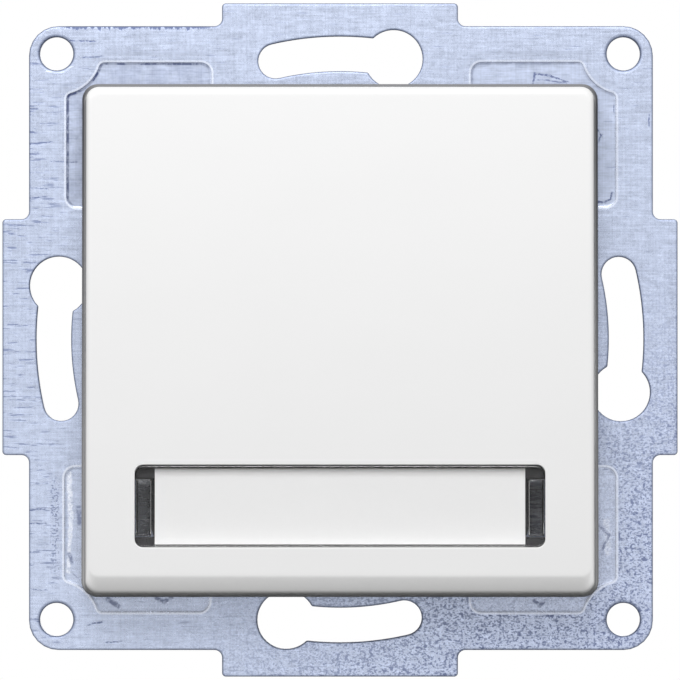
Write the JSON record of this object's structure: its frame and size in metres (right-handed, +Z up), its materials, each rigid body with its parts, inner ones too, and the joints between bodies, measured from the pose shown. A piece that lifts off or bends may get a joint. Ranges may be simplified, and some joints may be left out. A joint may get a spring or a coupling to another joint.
{
  "type": "doorbell push button",
  "caption": "Flush push button insert for a doorbell: a steel support ring with its mechanism and spreading claws behind, and a white sprung rocker with a blank name label in front.",
  "frame": {"origin": "centre of the support ring's back face, on the wall", "axes": "+Y into the wall, the rocker faces -Y; +Z up, the label is at the lower end; +X to the right as seen from the front"},
  "size_m": [0.071, 0.0363, 0.0708],
  "materials": {
    "ring_steel": "bluish galvanised sheet with fine rolled streaks",
    "rivet_steel": "zinc plated",
    "frame_plastic": "anthracite moulded thermoset",
    "base_plastic": "dark grey moulded thermoset",
    "rocker_plastic": "white, glossy",
    "cradle_plastic": "grey moulded",
    "tray_plastic": "anthracite moulded",
    "card_paper": "white card, blank",
    "window_plastic": "clear moulded plastic",
    "spring_steel": "drawn spring wire and strip",
    "plunger_plastic": "natural moulded, slippery",
    "blade_brass": "rolled bronze strip",
    "contact_silver": "silver contact rivet",
    "terminal_brass": "stamped brass strip",
    "lever_plastic": "orange moulded",
    "claw_steel": "zinc plated, stamped",
    "screw_steel": "zinc plated"
  },
  "bodies": {
    "mechanism": {"support_ring": "ring_steel", "mechanism_frame": "frame_plastic", "mechanism_base": "base_plastic", "terminal_cover": "base_plastic", "ring_rivets": "rivet_steel", "return_spring": "spring_steel", "common_terminal": "terminal_brass", "fixed_terminal": "terminal_brass", "fixed_contact": "contact_silver", "clamp_spring_left": "spring_steel", "clamp_spring_right": "spring_steel", "claw_spring_left": "spring_steel", "claw_spring_right": "spring_steel"},
    "rocker": {"rocker": "rocker_plastic", "rocker_cradle": "cradle_plastic", "label_tray": "tray_plastic", "label_card": "card_paper", "plunger_spring": "spring_steel"},
    "label_window": {"label_window": "window_plastic"},
    "contact_plunger": {"contact_plunger": "plunger_plastic"},
    "contact_blade": {"contact_blade": "blade_brass", "moving_contact": "contact_silver"},
    "claw_left": {"claw_left": "claw_steel"},
    "claw_right": {"claw_right": "claw_steel"},
    "claw_screw_left": {"claw_screw_left": "screw_steel"},
    "claw_screw_right": {"claw_screw_right": "screw_steel"},
    "release_lever_left": {"release_lever_left": "lever_plastic"},
    "release_lever_right": {"release_lever_right": "lever_plastic"}
  },
  "joints": [
    {"name": "rocker_tilt", "type": "hinge", "parent": "mechanism", "child": "rocker", "pos_m": [0, -0.0056, -0.0002], "axis": [1, 0, 0], "range_deg": [0, 6.5], "stiffness_Nm_per_rad": 0.3, "springref_deg": -4.58, "deforming": ["return_spring"]},
    {"name": "blade_tilt", "type": "hinge", "parent": "mechanism", "child": "contact_blade", "pos_m": [0, 0.00725, -0.0002], "axis": [1, 0, 0], "range_deg": [-6.5, 0]},
    {"name": "plunger_slide", "type": "slide", "parent": "rocker", "child": "contact_plunger", "axis": [0, -0.9976, 0.0698], "range_m": [0, 0.0005], "stiffness_N_per_m": 300, "springref_m": -0.002, "deforming": ["plunger_spring"]},
    {"name": "label_window_pull", "type": "slide", "parent": "rocker", "child": "label_window", "axis": [0, -0.9976, 0.0698], "range_m": [0, 0.01]},
    {"name": "claw_screw_left_turn", "type": "hinge", "parent": "mechanism", "child": "claw_screw_left", "pos_m": [-0.0236, 0, 0], "axis": [0, 1, 0], "range_deg": [0, 1260]},
    {"name": "claw_left_swing", "type": "hinge", "parent": "mechanism", "child": "claw_left", "pos_m": [-0.0205, 0.0036, 0], "axis": [0, 0, 1], "range_deg": [0, 27], "deforming": ["claw_spring_left"]},
    {"name": "release_lever_left_push", "type": "slide", "parent": "mechanism", "child": "release_lever_left", "axis": [0, -1, 0], "range_m": [0, 0.0015], "stiffness_N_per_m": 800, "springref_m": -0.001, "deforming": ["clamp_spring_left"]},
    {"name": "claw_screw_right_turn", "type": "hinge", "parent": "mechanism", "child": "claw_screw_right", "pos_m": [0.0236, 0, 0], "axis": [0, 1, 0], "range_deg": [0, 1260]},
    {"name": "claw_right_swing", "type": "hinge", "parent": "mechanism", "child": "claw_right", "pos_m": [0.0205, 0.0036, 0], "axis": [0, 0, -1], "range_deg": [0, 27], "deforming": ["claw_spring_right"]},
    {"name": "release_lever_right_push", "type": "slide", "parent": "mechanism", "child": "release_lever_right", "axis": [0, -1, 0], "range_m": [0, 0.0015], "stiffness_N_per_m": 800, "springref_m": -0.001, "deforming": ["clamp_spring_right"]}
  ],
  "couplings": [
    {"joint": "blade_tilt", "follows": "rocker_tilt", "ratio": -1},
    {"joint": "claw_left_swing", "follows": "claw_screw_left_turn", "ratio": 0.021429},
    {"joint": "claw_right_swing", "follows": "claw_screw_right_turn", "ratio": 0.021429}
  ]
}
